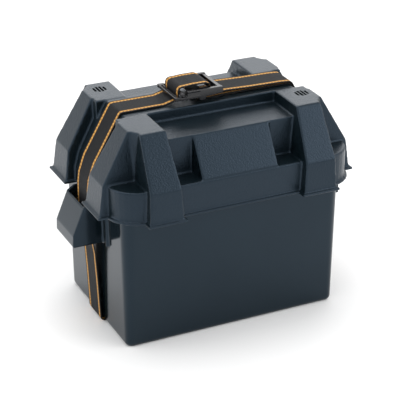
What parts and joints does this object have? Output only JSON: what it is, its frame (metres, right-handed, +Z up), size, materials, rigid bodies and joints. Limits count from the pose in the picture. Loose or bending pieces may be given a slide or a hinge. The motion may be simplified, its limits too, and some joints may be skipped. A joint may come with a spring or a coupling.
{
  "type": "boxed deep cycle battery",
  "caption": "Moulded black battery box with a ribbed lift-off lid, end carrying hoods and a buckled webbing strap, holding a flooded deep cycle battery.",
  "frame": {"origin": "middle of the underside of the base", "axes": "+X along the long side to the right, -Y out of the front face, +Z up"},
  "size_m": [0.364, 0.2552, 0.294],
  "materials": {
    "moulded_black": "fine moulded grain on the lid, satin on the base, polypropylene",
    "webbing": "woven polypropylene webbing with two orange stripes",
    "buckle_black": "moulded nylon, semi-gloss",
    "slide_bar_black": "steel bar, blackened",
    "case_plastic": "satin polypropylene",
    "cover_plastic": "satin polypropylene",
    "cap_plastic": "satin polypropylene",
    "lead": "dull cast lead alloy",
    "lead_oxide": "dark brown pasted plate",
    "steel": "zinc-plated steel",
    "separator": "porous polyethylene sheet"
  },
  "bodies": {
    "base": {"box_base": "moulded_black", "strap_lower": "webbing"},
    "battery": {"battery_case": "case_plastic", "battery_cover": "cover_plastic", "cell_weld_1": "lead", "cell_weld_2": "lead", "cell_weld_3": "lead", "cell_weld_4": "lead", "cell_weld_5": "lead", "negative_plates_1": "lead", "negative_plates_2": "lead", "negative_plates_3": "lead", "negative_plates_4": "lead", "negative_plates_5": "lead", "negative_plates_6": "lead", "positive_plates_1": "lead_oxide", "positive_plates_2": "lead_oxide", "positive_plates_3": "lead_oxide", "positive_plates_4": "lead_oxide", "positive_plates_5": "lead_oxide", "positive_plates_6": "lead_oxide", "separator_1": "separator", "separator_2": "separator", "separator_3": "separator", "separator_4": "separator", "separator_5": "separator", "separator_6": "separator", "stud_negative": "steel", "stud_positive": "steel", "terminal_negative": "lead", "terminal_positive": "lead", "washer_negative": "steel", "washer_positive": "steel"},
    "lid": {"box_lid": "moulded_black"},
    "strap_top": {"strap_left": "webbing", "strap_right": "webbing", "buckle_frame": "buckle_black"},
    "slide_bar": {"buckle_slide_bar": "slide_bar_black"},
    "cap_left": {"gang_vent_cap_left": "cap_plastic"},
    "cap_right": {"gang_vent_cap_right": "cap_plastic"},
    "nut_negative": {"wing_nut_negative": "steel"},
    "nut_positive": {"wing_nut_positive": "steel"}
  },
  "joints": [
    {"name": "battery_lift", "type": "slide", "parent": "base", "child": "battery", "axis": [0, 0, 1], "range_m": [0, 0.2]},
    {"name": "lid_lift", "type": "slide", "parent": "battery", "child": "lid", "axis": [0, 0, 1], "range_m": [0, 0.12]},
    {"name": "strap_release", "type": "slide", "parent": "lid", "child": "strap_top", "axis": [0, 0, 1], "range_m": [0, 0.1]},
    {"name": "buckle_slide", "type": "slide", "parent": "strap_top", "child": "slide_bar", "axis": [1, 0, 0], "range_m": [0, 0.018]},
    {"name": "cap_left_lift", "type": "slide", "parent": "battery", "child": "cap_left", "axis": [0, 0, 1], "range_m": [0, 0.02]},
    {"name": "cap_right_lift", "type": "slide", "parent": "battery", "child": "cap_right", "axis": [0, 0, 1], "range_m": [0, 0.02]},
    {"name": "nut_negative_turn", "type": "hinge", "parent": "battery", "child": "nut_negative", "pos_m": [-0.0815, -0.052, 0.2128], "axis": [0, 0, 1], "continuous": true},
    {"name": "nut_positive_turn", "type": "hinge", "parent": "battery", "child": "nut_positive", "pos_m": [0.0815, -0.052, 0.2128], "axis": [0, 0, 1], "continuous": true}
  ]
}
